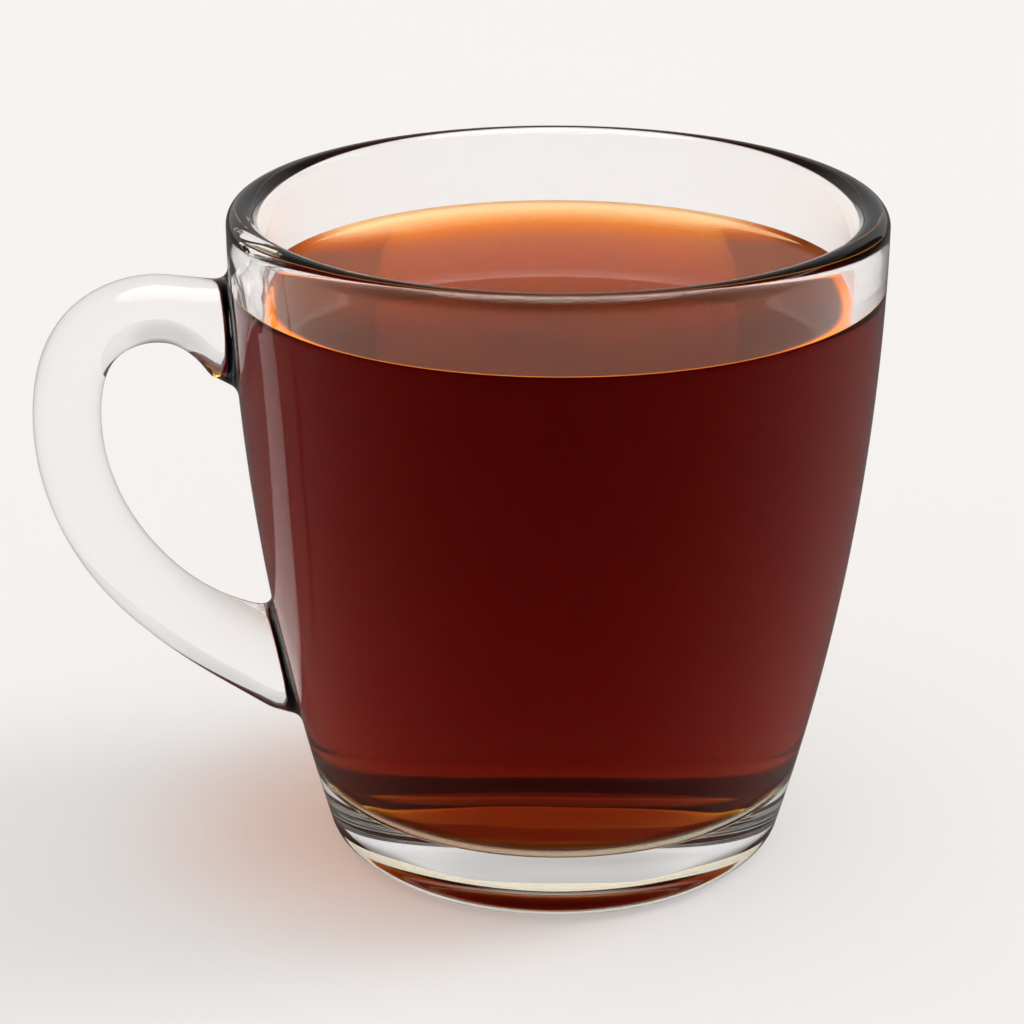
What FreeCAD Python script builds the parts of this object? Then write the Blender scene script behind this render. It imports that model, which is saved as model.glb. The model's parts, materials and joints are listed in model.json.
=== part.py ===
"""A clear glass mug with a loop handle, filled with black tea. Millimetres, +Z up.

The mug stands on the ring of its foot at z = 0, its axis is Z, and the handle points to -X.
The glass is one solid, body and handle together. The tea is a second solid that fills the
inside up to its level and meets the glass face to face.
"""
import FreeCAD
import Part
import math
import os

V = FreeCAD.Vector

# ---- the glass body
rim_d = 84.0          # across the outside of the lip
height = 87.0         # table to the top of the lip
foot_d = 61.8         # across the side, just above the foot's rounding
bulge = 2.8           # how far the side bows out from a straight taper
foot_round = 3.0      # height of the rounding between the side and the foot
foot_edge = 3.6       # how far that rounding draws the foot in
foot_ring = 7.0       # width of the flat ring that it stands on
punt_h = 1.3          # how far the middle of the underside is raised
punt_flat = 12.0      # radius of the level part in that middle
lip_t = 4.0           # glass at the lip, rounded over
wall_t = 4.3          # glass at mid height
low_wall_t = 4.8      # glass low on the side, above the rounding of the floor
base_t = 9.2          # glass under the tea
floor_round = 4.5     # rounding inside, between the side and the floor

# ---- the handle
handle_drop = 8.6     # from the top of the lip down to the top of the loop
gap_w = 18.3          # finger gap, from the side out to the loop
gap_h = 36.2          # finger gap, top to bottom
handle_t = 8.5        # thickness of the loop over its top, seen from the side
handle_low_t = 9.0    # the same low on the loop
handle_depth = 10.6   # width of the loop, seen from its end
upper_flare = 5.0     # extra height of the loop where its upper end meets the body
upper_flare_len = 8.0 # how far out from the body that flare begins
lower_flare = 5.4     # the same two sizes for the lower end
lower_flare_len = 16.0
joint_round = 2.0     # rounding where the loop flows into the body

# ---- the tea
tea_drop = 11.0       # from the top of the lip down to the tea
meniscus_h = 0.8      # how far the tea climbs the glass
meniscus_w = 2.0      # how far from the glass that climb begins

lip_z = height - lip_t / 2


def arc(a, b, c):
    """An arc from a through b to c."""
    return Part.Arc(a, b, c).toShape()


def bend(a, b):
    """An arc that leaves a level and curves up or down to b."""
    w = b.x - a.x
    h = b.z - a.z
    r = (w * w + h * h) / (2 * abs(h))
    half = math.asin(abs(w) / r) / 2
    x = a.x + math.copysign(r * math.sin(half), w)
    z = a.z + math.copysign(r * (1 - math.cos(half)), h)
    return arc(a, V(x, 0, z), b)


def line(a, b):
    """A straight edge from a to b."""
    return Part.makeLine(a, b)


def turned(edges):
    """The solid that a closed outline sweeps round the Z axis."""
    face = Part.Face(Part.Wire(edges))
    return face.revolve(V(0, 0, 0), V(0, 0, 1), 360)


def side_radius(z):
    """Radius of the outer side at height z, an even bow over a straight taper."""
    t = (z - foot_round) / (lip_z - foot_round)
    return (foot_d + t * (rim_d - foot_d)) / 2 + 4 * bulge * t * (1 - t)


def body_blank():
    """The outer shape of the body, solid right through."""
    low = V(foot_d / 2, 0, foot_round)
    ring = V(foot_d / 2 - foot_edge, 0, 0)
    mid_z = (foot_round + lip_z) / 2
    punt = V(ring.x - foot_ring, 0, 0)
    lip = V(rim_d / 2, 0, lip_z)
    inner = V(rim_d / 2 - lip_t, 0, lip_z)
    top = V(rim_d / 2 - lip_t / 2, 0, height)
    edges = [
        line(V(0, 0, punt_h), V(punt_flat, 0, punt_h)),
        bend(V(punt_flat, 0, punt_h), punt),
        line(punt, ring),
        bend(ring, low),
        arc(low, V(side_radius(mid_z), 0, mid_z), lip),
        arc(lip, top, inner),
        line(inner, V(0, 0, lip_z)),
        line(V(0, 0, lip_z), V(0, 0, punt_h)),
    ]
    return turned(edges)


def inside():
    """The room inside the mug, from its floor to above the lip."""
    low_z = base_t + floor_round
    mid_z = (low_z + lip_z) / 2
    lip = V(rim_d / 2 - lip_t, 0, lip_z)
    mid = V(side_radius(mid_z) - wall_t, 0, mid_z)
    low = V(side_radius(low_z) - low_wall_t, 0, low_z)
    side = Part.Arc(lip, mid, low)
    lean = side.tangent(side.LastParameter)[0]
    foot = low + lean * (floor_round / -lean.z)
    above = V(lip.x, 0, height + lip_t)
    room = turned([
        line(V(0, 0, base_t), foot),
        line(foot, low),
        side.toShape(),
        line(lip, above),
        line(above, V(0, 0, above.z)),
        line(V(0, 0, above.z), V(0, 0, base_t)),
    ])
    floor_edges = [e for e in room.Edges if abs(e.CenterOfMass.z - base_t) < 1e-3 and e.Length > foot.x]
    return room.makeFillet(floor_round, floor_edges)


def oval(centre, along, t):
    """A closed oval t thick and handle_depth wide, square to the direction along."""
    up = along.cross(V(0, 1, 0)).normalize()
    points = []
    for i in range(12):
        turn = math.radians(30 * i)
        points.append(centre + up * (t / 2 * math.cos(turn)) + V(0, handle_depth / 2 * math.sin(turn), 0))
    curve = Part.BSplineCurve()
    curve.interpolate(points, PeriodicFlag=True)
    return Part.Wire(curve.toShape())


def loop():
    """The handle: an oval bar along a bent loop, flared at both ends, which lie inside the side."""
    top = height - handle_drop - handle_t / 2
    low = top - handle_t - gap_h
    far = side_radius(top - gap_h / 2) + gap_w + handle_t / 2
    upper_x = side_radius(top)
    lower_x = side_radius(low)
    path = Part.BSplineCurve()
    path.interpolate([
        V(-upper_x + 8, 0, top - 7.5),
        V(-upper_x - 2.5, 0, top - 1.6),
        V(-upper_x - 10.5, 0, top),
        V(-far + 3.8, 0, top - 3.2),
        V(-far, 0, top - gap_h * 0.38),
        V(-far + 5.5, 0, top - gap_h * 0.92),
        V(-lower_x - 9, 0, low + 0.1),
        V(-lower_x + 10, 0, low - 7.4),
    ])
    wires = []
    count = 15
    for i in range(count):
        t = path.FirstParameter + (path.LastParameter - path.FirstParameter) * i / (count - 1)
        p = path.value(t)
        out = max(0.0, -p.x - side_radius(p.z))
        if p.z > top - gap_h / 2:
            extra = upper_flare * max(0.0, 1 - out / upper_flare_len) ** 2
        else:
            extra = lower_flare * max(0.0, 1 - out / lower_flare_len) ** 2
        lower = min(1.0, max(0.0, (top - p.z) / gap_h))
        thick = handle_t + (handle_low_t - handle_t) * lower + extra
        wires.append(oval(p, path.tangent(t)[0], thick))
    return Part.makeLoft(wires, True, False, False)


def glass():
    """Body and handle as one piece of glass, hollowed out."""
    blank = body_blank()
    bar = loop()
    whole = blank.fuse(bar).removeSplitter()
    joint = []
    for e in whole.Edges:
        p = Part.Vertex(e.valueAt((e.FirstParameter + e.LastParameter) / 2))
        on_body = p.distToShape(blank.Shells[0])[0] < 1e-3
        on_bar = p.distToShape(bar.Shells[0])[0] < 1e-3
        if on_body and on_bar:
            joint.append(e)
    whole = whole.makeFillet(joint_round, joint)
    return whole.cut(inside()).removeSplitter()


def tea():
    """The tea: the inside of the mug up to its level, with its edge climbing the glass."""
    level = height - tea_drop
    wall = rim_d / 2 - lip_t
    start = V(wall - meniscus_w, 0, level)
    end = V(wall, 0, level + meniscus_h)
    out = V(rim_d / 2, 0, end.z)
    under = turned([
        line(V(0, 0, level), start),
        bend(start, end),
        line(end, out),
        line(out, V(out.x, 0, 0)),
        line(V(out.x, 0, 0), V(0, 0, 0)),
        line(V(0, 0, 0), V(0, 0, level)),
    ])
    return inside().common(under)


os.makedirs("parts", exist_ok=True)
for name, shape in (("mug_glass", glass()), ("tea", tea())):
    solid = shape.Solids[0]
    b = solid.BoundBox
    print(name, len(shape.Solids), "solid, valid", solid.isValid(), "volume cm3 %.2f" % (solid.Volume / 1000))
    print("  box %.2f %.2f %.2f to %.2f %.2f %.2f" % (b.XMin, b.YMin, b.ZMin, b.XMax, b.YMax, b.ZMax))
    solid.exportStep("parts/%s.step" % name)
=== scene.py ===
# %% [markdown]
# # A glass mug of black tea
# The real thing is one heavy piece of clear moulded glass, turned in shape, with a loop handle
# that flows out of its side, and it is filled with strong black tea. Almost all of its look
# comes from light that bends: through the wall, through the tea and through the thick base.
# So its pieces are made as closed, smooth and dense meshes with true wall thickness, because
# every facet or dent in a clear shape shows twice, once on each side.

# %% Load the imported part
import json
import math

import bmesh
import bpy
import numpy as np
from mathutils import Matrix, Vector

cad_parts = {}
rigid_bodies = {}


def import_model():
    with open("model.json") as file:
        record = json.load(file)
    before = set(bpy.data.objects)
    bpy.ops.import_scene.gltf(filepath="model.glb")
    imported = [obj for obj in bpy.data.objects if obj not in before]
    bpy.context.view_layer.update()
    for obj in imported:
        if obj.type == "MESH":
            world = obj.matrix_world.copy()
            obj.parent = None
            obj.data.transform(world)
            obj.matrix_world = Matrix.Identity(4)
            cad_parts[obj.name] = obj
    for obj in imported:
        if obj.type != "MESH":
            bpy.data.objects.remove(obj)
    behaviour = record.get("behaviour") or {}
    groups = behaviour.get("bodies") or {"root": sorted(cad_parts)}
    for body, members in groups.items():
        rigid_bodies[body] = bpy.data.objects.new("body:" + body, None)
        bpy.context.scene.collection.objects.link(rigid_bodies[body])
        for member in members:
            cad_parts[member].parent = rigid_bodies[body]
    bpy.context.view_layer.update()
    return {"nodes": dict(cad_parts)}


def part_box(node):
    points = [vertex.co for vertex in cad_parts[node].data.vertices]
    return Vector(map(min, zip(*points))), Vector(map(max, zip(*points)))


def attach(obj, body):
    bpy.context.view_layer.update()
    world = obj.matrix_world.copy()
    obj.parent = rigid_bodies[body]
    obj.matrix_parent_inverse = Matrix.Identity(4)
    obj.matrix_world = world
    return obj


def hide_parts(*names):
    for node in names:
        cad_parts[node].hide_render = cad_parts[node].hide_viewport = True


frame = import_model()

MM = 0.001
for node in sorted(frame["nodes"]):
    low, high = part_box(node)
    print(node, "from", [round(x / MM, 1) for x in low], "to", [round(x / MM, 1) for x in high])

# %% [markdown]
# ## The sizes
# The same named sizes as the part's own, in millimetres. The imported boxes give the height, the
# width of the lip and the bottom of the tea, so those are read from the frame and everything
# else is hung from them.

# %% Sizes of the glass
_, glass_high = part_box("mug_glass")
tea_low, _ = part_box("tea")
height = glass_high.z / MM        # table to the top of the lip
rim_r = glass_high.x / MM         # outside of the lip
foot_r = 30.9                     # the side, just above the foot's rounding
bulge = 2.8                       # how far the side bows out
foot_round, foot_edge, foot_ring = 3.0, 3.6, 7.0
punt_h, punt_flat = 1.3, 12.0     # raised middle of the underside
lip_t, wall_t, low_wall_t = 4.0, 4.3, 4.8
base_t = tea_low.z / MM           # glass under the tea
floor_round = 4.5                 # between the side of the cavity and its floor
lip_z = height - lip_t / 2
tea_drop = 11.0                   # from the lip down to the tea
meniscus_h, meniscus_w = 0.8, 2.0
tea_z = height - tea_drop
print("height %.1f, lip radius %.1f mm" % (height, rim_r))
print("tea level %.1f, base %.1f mm" % (tea_z, base_t))

# %% [markdown]
# ## An outline to turn
# A glass like this is pressed in a turned mould, so half of its section is enough: a chain of
# straight runs and arcs in the plane y = 0. A vertex that is extruded makes a run, and a vertex
# that is spun about an arc's centre makes the arc. A full spin of the chain about Z then makes
# the body. It could also be a lathe curve with a Screw modifier, but the chain gives exact
# arcs and a mesh whose rings can be opened later for the handle.

# %% Arcs through three points
def circle(a, b, c):
    """Centre and radius of the circle through three points given as (across, up)."""
    ax, ay, bx, by = a[0] - c[0], a[1] - c[1], b[0] - c[0], b[1] - c[1]
    d = 2 * (ax * by - ay * bx)
    x = (by * (ax * ax + ay * ay) - ay * (bx * bx + by * by)) / d
    y = (ax * (bx * bx + by * by) - bx * (ax * ax + ay * ay)) / d
    return (c[0] + x, c[1] + y), math.hypot(x, y)


def bend_middle(a, b):
    """The middle of the arc that leaves a level and curves to b."""
    w, h = b[0] - a[0], b[1] - a[1]
    r = (w * w + h * h) / (2 * abs(h))
    half = math.asin(abs(w) / r) / 2
    return (a[0] + math.copysign(r * math.sin(half), w),
            a[1] + math.copysign(r * (1 - math.cos(half)), h))


class Outline:
    """Half of a section, as a chain of edges in the plane y = 0 that a full spin turns."""

    def __init__(self, across, up):
        self.bm = bmesh.new()
        self.tip = self.bm.verts.new((across * MM, 0, up * MM))

    def line(self, across, up, steps=1):
        move = (Vector((across, 0, up)) * MM - self.tip.co) / steps
        for _ in range(steps):
            self.tip = bmesh.ops.extrude_vert_indiv(self.bm, verts=[self.tip])["verts"][0]
            bmesh.ops.translate(self.bm, verts=[self.tip], vec=move)
        return self

    def arc(self, middle, end, steps):
        start = (self.tip.co.x / MM, self.tip.co.z / MM)
        centre, _ = circle(start, middle, end)
        angle = [math.atan2(p[1] - centre[1], p[0] - centre[0]) for p in (start, middle, end)]
        turn = 0
        for a, b in zip(angle, angle[1:]):
            turn += (b - a + math.pi) % (2 * math.pi) - math.pi
        made = bmesh.ops.spin(self.bm, geom=[self.tip], cent=(centre[0] * MM, 0, centre[1] * MM),
                              axis=(0, -1, 0), angle=turn, steps=steps)
        self.tip = [v for v in made["geom_last"] if isinstance(v, bmesh.types.BMVert)][0]
        return self

    def turned(self, segments):
        """The chain swept once round Z, its seam and its poles closed."""
        bm = self.bm
        bmesh.ops.spin(bm, geom=bm.verts[:] + bm.edges[:], cent=(0, 0, 0), axis=(0, 0, 1),
                       angle=2 * math.pi, steps=segments, use_merge=True)
        bmesh.ops.remove_doubles(bm, verts=bm.verts[:], dist=1e-6)
        return bm


# %% [markdown]
# ## The side and the cavity
# The outside of the mug is one long shallow bow from the foot to the lip. The inside follows it
# at the wall's thickness, then rounds into the flat floor. The tea later uses the same inside,
# grown a little into the glass, so the inside is written once with that growth as a number.

# %% The outer side
def taper(z):
    """Radius on an even bow over a straight taper from the foot to the lip."""
    t = (z - foot_round) / (lip_z - foot_round)
    return foot_r + t * (rim_r - foot_r) + 4 * bulge * t * (1 - t)


side_mid = (foot_round + lip_z) / 2
side_centre, side_bow = circle((foot_r, foot_round), (taper(side_mid), side_mid), (rim_r, lip_z))


def side_radius(z):
    """Radius of the outer side, on its true arc."""
    return side_centre[0] + math.sqrt(side_bow ** 2 - (z - side_centre[1]) ** 2)


# %% The inside, from the lip to the middle of the floor
low_z = base_t + floor_round
cavity_mid = (low_z + lip_z) / 2
cavity_centre, cavity_bow = circle((rim_r - lip_t, lip_z),
                                   (taper(cavity_mid) - wall_t, cavity_mid),
                                   (taper(low_z) - low_wall_t, low_z))
corner_steps, floor_steps = 18, 12


def cavity_radius(z, grow=0):
    """Radius of the inside at height z, grown into the glass by grow."""
    return cavity_centre[0] + math.sqrt((cavity_bow + grow) ** 2 - (z - cavity_centre[1]) ** 2)


def add_cavity(outline, top_z, grow=0, side_steps=60):
    """Runs the outline down the inside from top_z, round the corner and in to the axis."""
    low = Vector((cavity_radius(low_z, grow), low_z))
    mid = (top_z + low_z) / 2
    outline.arc((cavity_radius(mid, grow), mid), tuple(low), side_steps)
    lean = Vector((low_z - cavity_centre[1], cavity_centre[0] - low.x)).normalized()
    lean = lean if lean.y > 0 else -lean
    floor_z = base_t - grow
    corner = low - lean * ((low_z - floor_z) / lean.y)
    opening = math.acos(-lean.x)
    radius = floor_round + grow
    reach = radius / math.tan(opening / 2)
    on_side, on_floor = corner + lean * reach, corner - Vector((reach, 0))
    centre = on_floor + Vector((0, radius))
    middle = centre + (corner - centre).normalized() * radius
    outline.line(*on_side, 2)
    outline.arc(tuple(middle), tuple(on_floor), corner_steps)
    outline.line(0, floor_z, floor_steps)


print("side bow radius %.0f mm, cavity bow radius %.0f mm" % (side_bow, cavity_bow))

# %% [markdown]
# ## The body
# The outline starts in the middle of the underside, runs out over the raised punt and the flat
# foot ring, up the side, over the rounded lip, down the inside and back to the axis. So outside
# and inside come out of one spin, as one closed skin with a true wall between.

# %% Turn the body
segments = 256
side_steps, lip_steps = 72, 22
punt_steps, foot_steps = 12, 10
ring_r = foot_r - foot_edge
body = Outline(0, punt_h)
body.line(punt_flat, punt_h, 3)
body.arc(bend_middle((punt_flat, punt_h), (ring_r - foot_ring, 0)), (ring_r - foot_ring, 0),
         punt_steps)
body.line(ring_r, 0, 5)
body.arc(bend_middle((ring_r, 0), (foot_r, foot_round)), (foot_r, foot_round), foot_steps)
body.arc((taper(side_mid), side_mid), (rim_r, lip_z), side_steps)
body.arc((rim_r - lip_t / 2, height), (rim_r - lip_t, lip_z), lip_steps)
add_cavity(body, lip_z)
bm = body.turned(segments)
print("body:", len(bm.verts), "points,", len(bm.faces), "faces")

# %% [markdown]
# ## The handle's skin
# The handle is an oval bar pulled along a bent loop. It thickens towards both ends, where hot
# glass flowed into the side. The bar's skin is a function of two numbers, how far along and how
# far round, so that the lines where it meets the body can be found exactly.

# %% The loop and its thickness
handle_drop, gap_w, gap_h = 8.6, 18.3, 36.2
bar_t, bar_low_t, bar_depth = 8.5, 9.0, 10.6
upper_flare, upper_reach = 5.0, 8.0
lower_flare, lower_reach = 5.4, 16.0
loop_top = height - handle_drop - bar_t / 2
loop_low = loop_top - bar_t - gap_h
loop_far = taper(loop_top - gap_h / 2) + gap_w + bar_t / 2
upper_x, lower_x = taper(loop_top), taper(loop_low)
loop_points = [
    (-upper_x + 8, loop_top - 7.5),             # inside the wall, at the upper end
    (-upper_x - 2.5, loop_top - 1.6),
    (-upper_x - 10.5, loop_top),
    (-loop_far + 3.8, loop_top - 3.2),
    (-loop_far, loop_top - gap_h * 0.38),       # furthest out
    (-loop_far + 5.5, loop_top - gap_h * 0.92),
    (-lower_x - 9, loop_low + 0.1),
    (-lower_x + 10, loop_low - 7.4),            # inside the wall, at the lower end
]


def smooth_line(points):
    """A smooth line through the points, as a function from 0 to 1 along it."""
    p = np.array(points, float)
    t = np.concatenate([[0], np.cumsum(np.linalg.norm(np.diff(p, axis=0), axis=1))])
    n, h = len(p), np.diff(t)
    a, b = np.zeros((n, n)), np.zeros(p.shape)
    a[0, 0] = a[-1, -1] = 1
    for i in range(1, n - 1):
        a[i, i - 1:i + 2] = h[i - 1], 2 * (h[i - 1] + h[i]), h[i]
        b[i] = 6 * ((p[i + 1] - p[i]) / h[i] - (p[i] - p[i - 1]) / h[i - 1])
    m = np.linalg.solve(a, b)

    def at(s):
        x = s * t[-1]
        i = min(max(int(np.searchsorted(t, x)) - 1, 0), n - 2)
        u, v = t[i + 1] - x, x - t[i]
        return ((m[i] * u ** 3 + m[i + 1] * v ** 3) / (6 * h[i])
                + (p[i] / h[i] - m[i] * h[i] / 6) * u
                + (p[i + 1] / h[i] - m[i + 1] * h[i] / 6) * v)

    return at


loop_line = smooth_line(loop_points)


def bar_skin(s, turn):
    """A point on the bar, s from 0 to 1 along it and turn round it, 0 on the loop's outside."""
    x, z = loop_line(s)
    ahead, behind = loop_line(s + 1e-4), loop_line(s - 1e-4)
    along = Vector((ahead[0] - behind[0], 0, ahead[1] - behind[1])).normalized()
    out = max(0.0, -x - taper(z))
    flare, reach = lower_flare, lower_reach
    if z > loop_top - gap_h / 2:
        flare, reach = upper_flare, upper_reach
    lower = min(1.0, max(0.0, (loop_top - z) / gap_h))
    thick = bar_t + (bar_low_t - bar_t) * lower + flare * max(0.0, 1 - out / reach) ** 2
    outward = Vector((0, 1, 0)).cross(along)
    return (Vector((x, 0, z)) + outward * (thick / 2 * math.cos(turn))
            + Vector((0, bar_depth / 2 * math.sin(turn), 0)))


print("loop: top %.1f, low %.1f, far %.1f mm" % (loop_top, loop_low, loop_far))

# %% [markdown]
# ## The joints
# Where the bar runs into the side there is a soft fillet, about 2 mm. For each line along the
# bar the script finds where it crosses the side. A small curve then leaves the bar, passes that
# corner and lands on the side, tangent to both. A Boolean and a Bevel could do it too, but they
# leave thin slivers, which glass shows as scratches.

# %% Fillet between the bar and the side
joint_round = 2.0
halvings, nudge = 40, 1e-3


def on_side(p):
    """The point moved level onto the outer side."""
    r = side_radius(p.z) / math.hypot(p.x, p.y)
    return Vector((p.x * r, p.y * r, p.z))


def joint(turn, deep):
    """For one line along the bar: where its fillet starts, the corner, and where it lands."""
    inside_s, outside_s = deep, 0.5
    for _ in range(halvings):
        s = (inside_s + outside_s) / 2
        p = bar_skin(s, turn)
        if math.hypot(p.x, p.y) > side_radius(p.z):
            outside_s = s
        else:
            inside_s = s
    corner = bar_skin(s, turn)
    step = nudge if deep < 0.5 else -nudge
    along = bar_skin(s + step, turn) - corner
    round_bar = bar_skin(s, turn + nudge) - bar_skin(s, turn - nudge)
    bar_out = along.cross(round_bar).normalized()
    middle = Vector((*(loop_line(s)), 0)).xzy
    if bar_out.dot(corner - middle) < 0:
        bar_out = -bar_out
    side_out = Vector((corner.x, corner.y, 0)).normalized()
    side_out *= math.hypot(corner.x, corner.y) - side_centre[0]
    side_out.z = corner.z - side_centre[1]
    side_out.normalize()
    away = (bar_out - side_out * bar_out.dot(side_out)).normalized()
    opening = away.angle(along)
    reach = joint_round / math.tan(opening / 2)
    start = s + step * reach / along.length
    return start, corner, on_side(corner + away * reach)


around = 64
fillet_rows, bar_rows = 8, 96
joints = {}
for i in range(around + 1):
    turn = 2 * math.pi * (i % around) / around
    joints[i] = joint(turn, 0.0), joint(turn, 1.0)
print("upper joint from %.1f to %.1f mm high" % (joints[around // 2][0][2].z, joints[0][0][2].z))
print("lower joint from %.1f to %.1f mm high" % (joints[0][1][2].z, joints[around // 2][1][2].z))


def handle_point(i, row):
    """A point of the handle's skin: row 0 and the last row land on the side."""
    turn = 2 * math.pi * (i % around) / around
    last = bar_rows + 2 * fillet_rows
    (upper_start, upper_corner, upper_land), (lower_start, lower_corner, lower_land) = joints[i]
    if fillet_rows <= row <= last - fillet_rows:
        share = (row - fillet_rows) / bar_rows
        return bar_skin(upper_start + (lower_start - upper_start) * share, turn)
    if row < fillet_rows:
        u, start, corner, land = row / fillet_rows, upper_start, upper_corner, upper_land
    else:
        u, start, corner, land = (last - row) / fillet_rows, lower_start, lower_corner, lower_land
    return land * (1 - u) ** 2 + corner * (2 * u * (1 - u)) + bar_skin(start, turn) * u ** 2


# %% [markdown]
# ## Opening the side for the handle
# The turned side is a fine net of rings and lines. A square patch of it is taken out at each
# joint, and the patch's rim has as many points as the bar has lines. Each rim point is moved to
# its place on the landing curve, and the net round it is eased in the side's own surface, so
# it stays exactly on the arc. Then bar and body share their points and merge into one skin.

# %% Number the net on the side
half = around // 8


def net_index(v):
    """Line and ring of a point on the outer side, counted from the handle's line, or None."""
    x, y, z = v.co / MM
    if not foot_round - 0.01 < z < lip_z + 0.01 or abs(math.hypot(x, y) - side_radius(z)) > 0.05:
        return None
    line = round(math.atan2(y, -x) / (2 * math.pi / segments))
    start = math.atan2(foot_round - side_centre[1], foot_r - side_centre[0])
    end = math.atan2(lip_z - side_centre[1], rim_r - side_centre[0])
    here = math.atan2(z - side_centre[1], math.hypot(x, y) - side_centre[0])
    return line, round((here - start) / (end - start) * side_steps)


def rim_index(u, v):
    """Count round the square patch from the middle of its top towards +Y."""
    if v == half and u >= 0:
        return u
    if u == half:
        return 2 * half - v
    if v == -half:
        return 4 * half - u
    if u == -half:
        return 6 * half + v
    return 8 * half + u


net = {}
for v in bm.verts:
    index = net_index(v)
    if index:
        net[index] = v
print("points in the net", len(net))

# %% Take out a patch at each joint
centres = []
for end in (0, 1):
    mean = sum(joints[i][end][2].z for i in range(around)) / around
    ring = min(range(side_steps + 1), key=lambda r: abs(net[0, r].co.z / MM - mean))
    centres.append(ring)
doomed = set()
for ring in centres:
    patch = {net[u, ring + v] for u in range(-half, half + 1) for v in range(-half, half + 1)}
    doomed |= {f for v in patch for f in v.link_faces if all(w in patch for w in f.verts)}
bmesh.ops.delete(bm, geom=list(doomed), context="FACES")
print("faces taken out", len(doomed))

# %% Ease the net to the landing curves
margin, rounds = 9, 80            # width of the eased net, and how often it is smoothed
for end, ring in enumerate(centres):
    up = 1 if end == 0 else -1
    eased = []
    for u in range(-half - margin, half + margin + 1):
        for v in range(-half - margin, half + margin + 1):
            if (u, ring + v) not in net or not net[u, ring + v].is_valid:
                continue
            point = net[u, ring + v]
            edge = max(abs(u), abs(v))
            if edge == half:
                point.co = joints[rim_index(u, v * up)][end][2] * MM
            elif half < edge < half + margin and 0 < ring + v < side_steps:
                eased.append(point)
    for _ in range(rounds):
        bmesh.ops.smooth_vert(bm, verts=eased, factor=0.5,
                              use_axis_x=True, use_axis_y=True, use_axis_z=True)
        for point in eased:
            point.co = on_side(point.co / MM) * MM
    print("joint", end, "ring", ring, "eased points", len(eased))

# %% Add the handle's skin and merge
rows = bar_rows + 2 * fillet_rows
skin = bmesh.ops.create_grid(bm, x_segments=around, y_segments=rows, size=1)["verts"]
for v in skin:
    i = round((v.co.x + 1) / 2 * around)
    row = round((v.co.y + 1) / 2 * rows)
    v.co = handle_point(i, row) * MM
loose = [v for v in bm.verts if not v.link_faces]
bmesh.ops.delete(bm, geom=loose, context="VERTS")
bmesh.ops.remove_doubles(bm, verts=bm.verts[:], dist=2e-6)
bmesh.ops.recalc_face_normals(bm, faces=bm.faces[:])
open_edges = sum(1 for e in bm.edges if len(e.link_faces) != 2)
print("glass:", len(bm.faces), "faces, open edges", open_edges)
print("glass volume %.1f cm3" % (bm.calc_volume() * 1e6))


# %% Make the glass a piece
def finish_piece(bm, name, node):
    """A smooth-shaded object that rides on the body and stands for its CAD node."""
    mesh = bpy.data.meshes.new(name)
    bm.to_mesh(mesh)
    bm.free()
    mesh.shade_smooth()
    piece = bpy.data.objects.new(name, mesh)
    bpy.context.scene.collection.objects.link(piece)
    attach(piece, "root")
    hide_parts(node)
    return piece


glass = finish_piece(bm, "clear_glass_mug", "mug_glass")

# %% [markdown]
# ## The tea
# The tea fills the inside up to its level and climbs the glass a little at its edge. It is a
# turned shape too. It reaches a quarter of a millimetre into the wall all round: with a gap of
# air, or with two faces in the same place, light would bounce there and turn the tea to silver.

# %% Turn the tea
grip = 0.25
surface_steps, meniscus_steps = 16, 10
edge_z = tea_z + meniscus_h
edge_r = cavity_radius(edge_z)
tea = Outline(0, tea_z)
tea.line(edge_r - meniscus_w, tea_z, surface_steps)
tea.arc(bend_middle((edge_r - meniscus_w, tea_z), (edge_r, edge_z)), (edge_r, edge_z),
        meniscus_steps)
tea.line(cavity_radius(edge_z, grip), edge_z, 1)
add_cavity(tea, edge_z, grip, 56)
bm = tea.turned(segments)
bmesh.ops.recalc_face_normals(bm, faces=bm.faces[:])
print("tea:", len(bm.faces), "faces, volume %.1f cm3" % (bm.calc_volume() * 1e6))
drink = finish_piece(bm, "black_tea_fill", "tea")

# %% [markdown]
# ## The film on the tea
# Fine tea leaf dust and a skin thinner than paper lie on the surface of strong tea and catch
# the light from above. Here they are only a faint cover: most of the warm colour on this disc
# is painted light, a painted glow towards the far wall and a painted glowing orange line at the
# near meniscus, so the top of the tea looks warm brown and not black. It is a closed disc of
# its own, on the same arcs as the tea's top and a hair above it.

# %% Turn the film
film_over, film_t = 0.07, 0.05
film_z, film_r = tea_z + film_over, edge_r + 0.05
film_top, film_in = (film_r, edge_z + film_over), (edge_r - meniscus_w, film_z)
film_bend = bend_middle(film_in, film_top)
film = Outline(0, film_z - film_t)
film.line(film_in[0], film_in[1] - film_t, surface_steps)
film.arc((film_bend[0], film_bend[1] - film_t), (film_top[0], film_top[1] - film_t),
         meniscus_steps)
film.line(*film_top)
film.arc(film_bend, film_in, meniscus_steps)
film.line(0, film_z, surface_steps)
bm = film.turned(segments)
bmesh.ops.recalc_face_normals(bm, faces=bm.faces[:])
open_edges = sum(1 for e in bm.edges if len(e.link_faces) != 2)
print("film radius %.1f mm, open edges %d" % (film_r, open_edges))
# a thin disc over the tea that holds a little dust and mostly painted glow
skin_film = finish_piece(bm, "tea_film_and_painted_glow", "tea")

# %% [markdown]
# ## Shader sums
# A finish is a small network of nodes. To write it as sums, one class wraps a socket: an
# expression on it adds the Math nodes, and its node method adds any other node.


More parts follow.
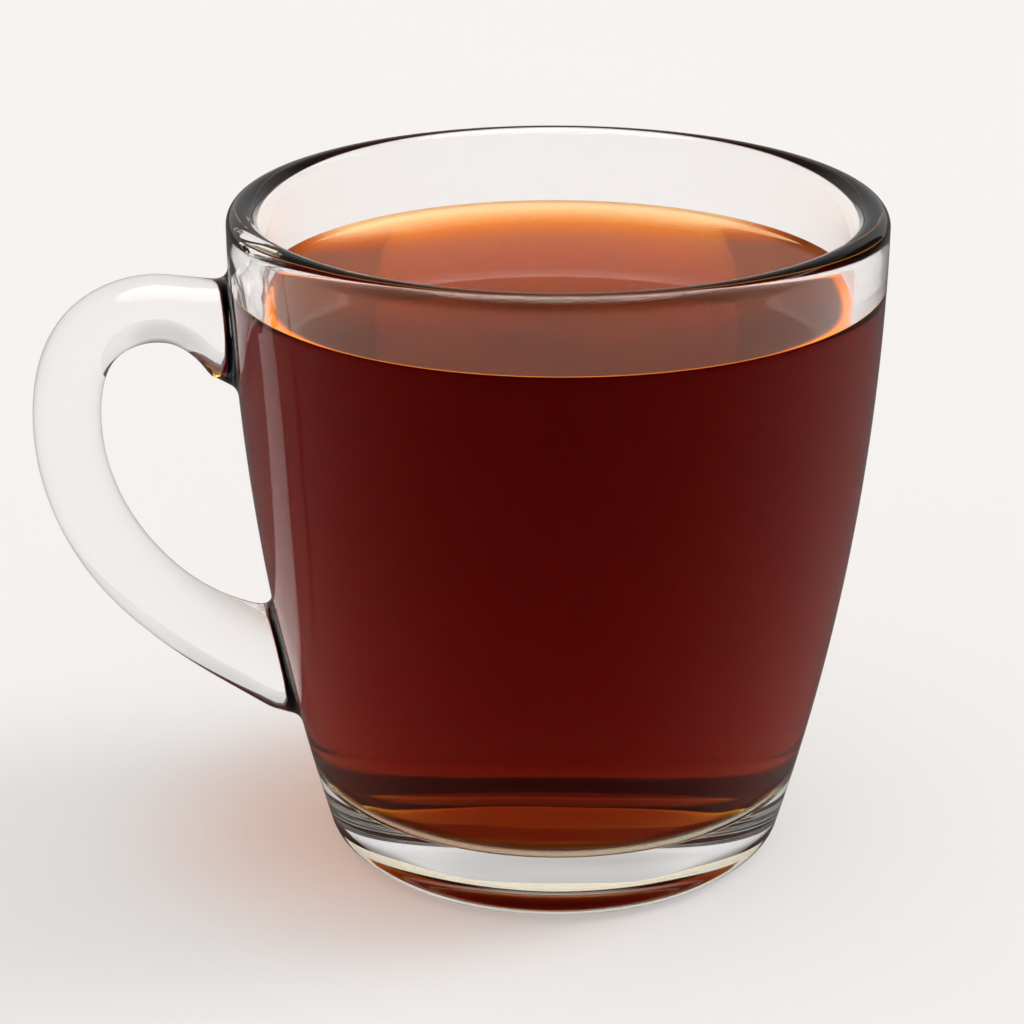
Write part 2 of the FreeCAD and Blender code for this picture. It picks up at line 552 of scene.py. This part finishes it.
# %% A socket that takes part in sums
class Wire:
    """A node's output in one tree. Sums on it add Math nodes."""

    def __init__(self, tree, socket=None):
        self.tree, self.socket = tree, socket

    def node(self, kind, settings=None, values=None, output=0):
        """Adds a node: its settings first, then the values or links of its sockets."""
        made = self.tree.nodes.new(kind)
        for name, value in (settings or {}).items():
            setattr(made, name, value)
        for name, value in (values or {}).items():
            if isinstance(value, Wire):
                self.tree.links.new(value.socket, made.inputs[name])
            else:
                made.inputs[name].default_value = value
        return Wire(self.tree, made.outputs[output] if made.outputs else None)

    def maths(self, operation, first, second=0.0, clamp=False):
        settings = {"operation": operation, "use_clamp": clamp}
        return self.node("ShaderNodeMath", settings, {0: first, 1: second})

    def __add__(self, other):
        return self.maths("ADD", self, other)

    __radd__ = __add__

    def __mul__(self, other):
        return self.maths("MULTIPLY", self, other)

    __rmul__ = __mul__

    def __sub__(self, other):
        return self.maths("SUBTRACT", self, other)

    def __rsub__(self, other):
        return self.maths("SUBTRACT", other, self)

    def __pow__(self, other):
        return self.maths("POWER", self, other)

    def clamped(self):
        return self.maths("ADD", self, 0.0, True)

    def eased(self, start, end, low=0.0, high=1.0):
        """A soft step from low to high as this value goes from start to end."""
        return self.node("ShaderNodeMapRange", {"interpolation_type": "SMOOTHSTEP"},
                         {"Value": self, "From Min": start, "From Max": end,
                          "To Min": low, "To Max": high})

    def mix(self, first, second):
        """The first colour where this value is 0, and the second where it is 1."""
        return self.node("ShaderNodeMix", {"data_type": "RGBA"},
                         {"Factor": self, "A": first, "B": second}, 2)


# %% Helpers for a finish
def new_finish(name):
    """An empty material and a Wire to build it with."""
    material = bpy.data.materials.new(name)
    material.use_nodes = True
    material.node_tree.nodes.clear()
    return material, Wire(material.node_tree)


def noise(wire, scale, detail=2.0):
    """Noise fixed to the object, so many waves to the metre."""
    place = wire.node("ShaderNodeTexCoord", output="Object")
    return wire.node("ShaderNodeTexNoise", {"noise_dimensions": "3D"},
                     {"Vector": place, "Scale": scale, "Detail": detail})


def put_on(material, piece):
    """Gives a piece its finish."""
    piece.data.materials.append(material)
    print(material.name, "on", piece.name + ",", len(material.node_tree.nodes), "nodes")


# %% [markdown]
# ## Clear glass
# Pressed glass is colourless and polished, but never perfect: its skin has long shallow waves
# from the mould, and hands leave faint dull patches. The waves go in as a very small bump, the
# patches as a hair of roughness. Its bending power is that of soda glass, 1.5. Its mirror-like
# glint is held back by a low specular tint, because a pale room would turn the tea grey.

# %% The glass finish
clear, wire = new_finish("clear_moulded_glass")
mould_waves = noise(wire, 55.0, 1.0)
smudges = noise(wire, 38.0, 4.0)
polish, dullest = 0.002, 0.012
dullness = ((smudges - 0.55) * 4.0).clamped() * dullest + polish
skin_normal = wire.node("ShaderNodeBump", None,
                        {"Height": mould_waves, "Strength": 0.25, "Distance": 0.0004})
glass_shader = wire.node("ShaderNodeBsdfPrincipled", None,
                         {"Base Color": (0.965, 0.96, 0.955, 1.0), "Roughness": dullness,
                          "Normal": skin_normal, "IOR": 1.5, "Transmission Weight": 1.0,
                          "Specular Tint": (0.05, 0.05, 0.05, 1.0)})
wire.node("ShaderNodeOutputMaterial", None, {"Surface": glass_shader})
put_on(clear, glass)

# %% [markdown]
# ## Black tea
# Tea is water with colour in it, so the colour belongs in its volume: thin tea near the base
# glows orange, and the whole width of the mug is nearly black red. Absorption does just that,
# red passing furthest. Its surface is smooth as water's, with the faintest dull patches.

# %% The tea finish
strong_tea, wire = new_finish("black_tea_liquid")
ripple = noise(wire, 60.0, 3.0)
still, stirred = 0.001, 0.01
tea_dullness = ((ripple - 0.5) * 3.0).clamped() * stirred + still
tea_shader = wire.node("ShaderNodeBsdfPrincipled", None,
                       {"Base Color": (1.0, 1.0, 1.0, 1.0), "Roughness": tea_dullness,
                        "IOR": 1.333, "Transmission Weight": 1.0,
                        "Specular Tint": (0.0, 0.0, 0.0, 1.0)})
depth = wire.node("ShaderNodeVolumeAbsorption", None,
                  {"Color": (0.938, 0.80, 0.28, 1.0), "Density": 600.0})
wire.node("ShaderNodeOutputMaterial", None, {"Surface": tea_shader, "Volume": depth})
put_on(strong_tea, drink)

# %% [markdown]
# ## The film's finish
# The film is mostly clear, with a faint swirl of dust. Light that has come up through thin tea
# is painted on it: a painted pale orange glow along the far wall, a painted deep orange glow
# over the back half, and a painted bright orange line where the meniscus meets the near wall.
# That painted light is the film's own colour plus a little emission, since it comes from below.

# %% Where the dust and the painted glow lie
film_dust_and_painted_glow, wire = new_finish("tea_dust_and_painted_glow")
place = wire.node("ShaderNodeTexCoord", output="Object")
level = wire.node("ShaderNodeVectorMath", {"operation": "MULTIPLY"},
                  {0: place, 1: (1.0, 1.0, 0.0)})
from_axis = wire.node("ShaderNodeVectorMath", {"operation": "LENGTH"}, {0: level}, "Value")
back_wise = wire.node("ShaderNodeSeparateXYZ", None, {"Vector": place}, 1)
line_in, line_full, glow_in = film_r - 1.9, film_r - 0.8, film_r - 17.0
# painted light: a glowing line at the near meniscus, a glow towards the far wall, a glow over the
# back half
painted_meniscus_line = from_axis.eased(line_in * MM, line_full * MM) * back_wise.eased(6.0 * MM, -12.0 * MM)
painted_far_glow = from_axis.eased(glow_in * MM, film_r * MM) * back_wise.eased(14.0 * MM, 28.0 * MM)
painted_back_glow = back_wise.eased(-22.0 * MM, 10.0 * MM)
swirl = noise(wire, 90.0, 4.0)
thinnest = 0.02
# the film's cover: a faint swirl of dust, plus the places where the glow is painted
dust_and_glow_cover = (swirl * 0.05 + painted_meniscus_line * 0.75 + painted_far_glow * 0.40 + painted_back_glow * 0.06
         + thinnest).clamped()
print("line from %.1f mm, glow from %.1f mm" % (line_in, glow_in))

# %% The film finish, with painted glow and a painted glowing line
# painted glow colours: pale yellow towards the far wall, deep orange elsewhere; the near line
# glows by emission
warm = (painted_far_glow ** 3.0).mix((0.85, 0.17, 0.02, 1.0), (0.95, 0.70, 0.36, 1.0))
painted_line_glow = painted_meniscus_line.mix((0.30, 0.06, 0.0, 1.0), (0.95, 0.34, 0.01, 1.0))
film_shader = wire.node("ShaderNodeBsdfPrincipled", None,
                        {"Base Color": warm, "Roughness": 0.5, "Alpha": dust_and_glow_cover,
                         "Specular IOR Level": 0.0,
                         "Emission Color": painted_line_glow, "Emission Strength": 0.7})
wire.node("ShaderNodeOutputMaterial", None, {"Surface": film_shader})
put_on(film_dust_and_painted_glow, skin_film)

# %% [markdown]
# ## The table
# The mug stands on a plain pale surface that runs out to nothing. Tea throws a warm patch of
# light beside the mug, and that patch is a colour on the table here, because a worked-out one
# takes far longer to render clean. The table is dimmer in reflections, so that it doesn't veil
# the dark tea. It lies a hair under the foot, so that the two don't share a face.

# %% A piece of the set
def set_piece(bm, name, material):
    """An object for the set, which isn't part of the mug."""
    mesh = bpy.data.meshes.new(name)
    bm.to_mesh(mesh)
    bm.free()
    piece = bpy.data.objects.new(name, mesh)
    bpy.context.scene.collection.objects.link(piece)
    put_on(material, piece)
    return piece


# %% Table
pale, wire = new_finish("pale_table")
cloud = noise(wire, 3.0, 3.0)
plain = cloud.mix((0.82, 0.80, 0.797, 1.0), (0.84, 0.82, 0.817, 1.0))
place = wire.node("ShaderNodeTexCoord", output="Object")
patch_middle, patch_in, patch_out = (-0.020, -0.001, 0.0), 0.010, 0.046
from_patch = wire.node("ShaderNodeVectorMath", {"operation": "DISTANCE"},
                       {0: place, 1: patch_middle}, "Value")
warm_patch = from_patch.eased(patch_in, patch_out, 1.0, 0.0)
tone = warm_patch.mix(plain, (0.84, 0.61, 0.52, 1.0))
mirrored = wire.node("ShaderNodeLightPath", output="Is Reflection Ray")
dimmed = (mirrored * 0.85).mix(tone, (0.0, 0.0, 0.0, 1.0))
matt = wire.node("ShaderNodeBsdfPrincipled", None,
                 {"Base Color": dimmed, "Roughness": 1.0, "Specular IOR Level": 0.0})
wire.node("ShaderNodeOutputMaterial", None, {"Surface": matt})
table_r, table_drop = 4.0, 0.00005
bm = bmesh.new()
bmesh.ops.create_circle(bm, cap_ends=True, segments=96, radius=table_r)
bmesh.ops.translate(bm, verts=bm.verts[:], vec=(0, 0, -table_drop))
set_piece(bm, "table", pale)

# %% [markdown]
# ## The room light
# Soft light comes from all round, with one bright window high on the right, so that there is a
# gentle shadow on the left. Clear glass needs something darker to bend as well, or its edges
# vanish, so the room is dimmer and warmer overhead, and a little dimmer low behind the mug. A
# strip straight above shows only in polished reflections. The camera itself sees a plain wall.

# %% Directions in the room
world = bpy.data.worlds.new("studio")
bpy.context.scene.world = world
world.use_nodes = True
world.node_tree.nodes.clear()
wire = Wire(world.node_tree)
direction = wire.node("ShaderNodeTexCoord", output="Generated")


def towards(x, y, z):
    """How squarely a direction faces the point (x, y, z), from -1 to 1."""
    return wire.node("ShaderNodeVectorMath", {"operation": "DOT_PRODUCT"},
                     {0: direction, 1: Vector((x, y, z)).normalized()}, "Value")


# %% Room light
up = towards(0, 0, 1)
mirrored = wire.node("ShaderNodeLightPath", output="Is Reflection Ray")
polished = wire.node("ShaderNodeLightPath", output="Is Glossy Ray")
around_light, overhead_light = 0.84, 0.36
dim_from, dim_to = 0.42, 0.62     # how steeply up the room turns dim
low_behind = towards(0.081, 0.926, 0.37).eased(0.90, 0.985)
room_light = up.eased(dim_from, dim_to, around_light, overhead_light)
room_light = room_light * (1 - mirrored * 0.4) * (1 - low_behind * 0.2)
window = towards(0.85, 0.12, 0.50).eased(0.94, 0.99, 0.0, 5.0)
strip = up.eased(0.86, 0.95, 0.0, 25.0) * mirrored * polished
warmth = up.eased(dim_from, dim_to).mix((1.0, 0.99, 0.98, 1.0), (1.0, 0.94, 0.88, 1.0))
room = wire.node("ShaderNodeBackground", None,
                 {"Color": warmth, "Strength": room_light + window + strip})
backdrop = wire.node("ShaderNodeBackground", None,
                     {"Color": (0.913, 0.905, 0.888, 1.0), "Strength": 1.0})
seen = wire.node("ShaderNodeLightPath", output="Is Camera Ray")
both = wire.node("ShaderNodeMixShader", None, {0: seen, 1: room, 2: backdrop})
wire.node("ShaderNodeOutputWorld", None, {"Surface": both})
print("room light:", len(world.node_tree.nodes), "nodes")

# %% [markdown]
# ## Cards beside the mug
# Whoever lights clear glass stands dark cards just out of view, so that its edges bend
# something dark. Two of brown felt do that here. The camera doesn't see them and they cast no
# shadow: they show only in and through the glass.

# %% Felt cards
felt, wire = new_finish("brown_felt")
nap = noise(wire, 400.0, 2.0)
brown = nap.mix((0.15, 0.13, 0.115, 1.0), (0.21, 0.185, 0.165, 1.0))
felt_shader = wire.node("ShaderNodeBsdfPrincipled", None, {"Base Color": brown, "Roughness": 1.0})
wire.node("ShaderNodeOutputMaterial", None, {"Surface": felt_shader})
card_away, card_t = 0.160, 0.001
card_near, card_far, card_low, card_high = -0.10, 0.12, 0.065, 0.19
for name, side in (("card_left", -1), ("card_right", 1)):
    bm = bmesh.new()
    bmesh.ops.create_cube(bm, size=1.0)
    bmesh.ops.scale(bm, verts=bm.verts[:],
                    vec=(card_t, card_far - card_near, card_high - card_low))
    bmesh.ops.translate(bm, verts=bm.verts[:],
                        vec=(side * (card_away + card_t / 2),
                             (card_near + card_far) / 2, (card_low + card_high) / 2))
    card = set_piece(bm, name, felt)
    card.visible_camera = card.visible_diffuse = card.visible_shadow = False

# %% [markdown]
# ## The fill lamp
# A broad lamp from straight above evens out the table. It casts no shadow and doesn't show in
# the glass, so the shape of the shadow is left to the window.

# %% Fill lamp
fill = bpy.data.lights.new("fill", "SUN")
fill.energy, fill.angle, fill.use_shadow = 2.04, math.radians(60), False
lamp = bpy.data.objects.new("fill", fill)
lamp.location = (0, 0, 1)
lamp.visible_glossy = lamp.visible_transmission = False
bpy.context.scene.collection.objects.link(lamp)
print("fill lamp", round(fill.energy, 2))

# %% [markdown]
# ## The camera
# It looks down on the mug from in front, at about 21 degrees, through a longish lens, with the
# handle turned a few degrees towards it. It is placed by its distances from the mug's axis.

# %% Camera
handle_turn, camera_tilt = math.radians(5.0), math.radians(21.514)
camera_side, camera_back, camera_up = -5.8, 344.7, 180.5
eye = bpy.data.cameras.new("eye")
eye.lens, eye.sensor_width = 98.44, 36.0
camera = bpy.data.objects.new("eye", eye)
camera_place = Vector((camera_side, -camera_back, camera_up)) * MM
camera.location = Matrix.Rotation(-handle_turn, 3, "Z") @ camera_place
camera.rotation_euler = (math.pi / 2 - camera_tilt, 0, -handle_turn)
bpy.context.scene.collection.objects.link(camera)
bpy.context.scene.camera = camera
print("camera at", [round(x / MM) for x in camera.location], "mm")

# %% [markdown]
# ## Bounces
# Light crosses many clear faces on its way: two for the wall, two for the tea, and more where
# it runs round inside the lip. With too few bounces those places turn black.

# %% Enough bounces for clear shapes
scene = bpy.context.scene
scene.view_settings.view_transform = "Standard"
scene.cycles.max_bounces = 24
scene.cycles.transmission_bounces = 20
scene.cycles.glossy_bounces = 8
scene.cycles.use_denoising = True
print("bounces", scene.cycles.max_bounces)
